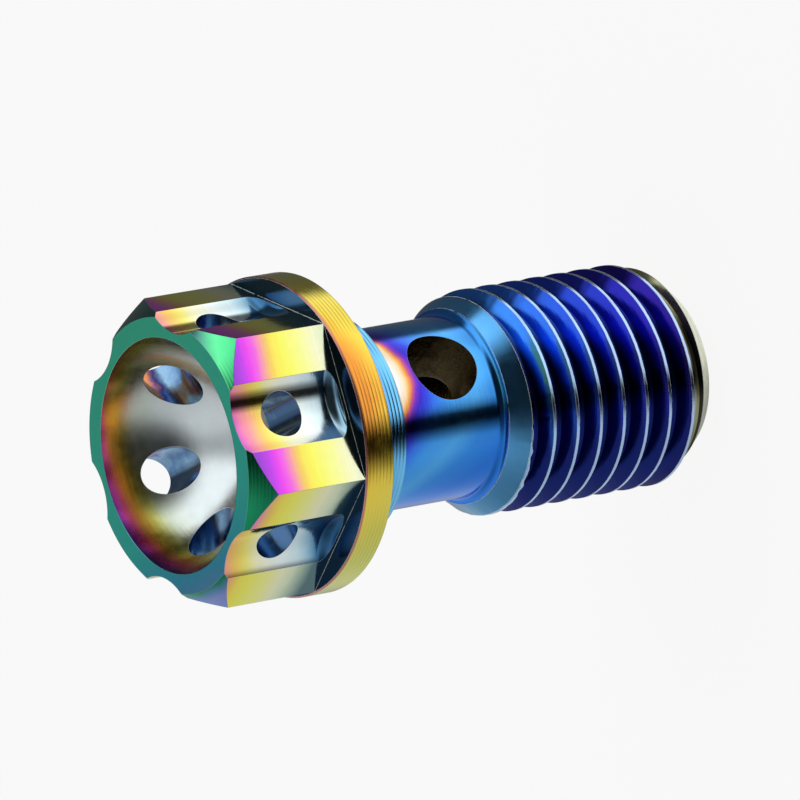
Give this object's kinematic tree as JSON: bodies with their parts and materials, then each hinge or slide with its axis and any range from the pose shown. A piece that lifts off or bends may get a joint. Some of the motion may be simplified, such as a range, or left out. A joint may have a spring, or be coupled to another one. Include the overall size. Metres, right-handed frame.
{
  "type": "banjo bolt",
  "caption": "Hollow fluid bolt: dished hexagon head with fluted, drilled flats, round flange, waisted shank with a cross hole, threaded end with an axial bore.",
  "frame": {"origin": "centre of the threaded end face, which the bolt stands on", "axes": "+Z along the bolt's axis from the threaded end to the dished head; -Y looks at one flat of the hexagon"},
  "size_m": [0.014, 0.014, 0.0261],
  "materials": {
    "heat_tinted_titanium": "polished titanium, heat tinted in bands from teal and purple through gold to blue"
  },
  "bodies": {
    "root": {"banjo_bolt": "heat_tinted_titanium"}
  },
  "joints": []
}
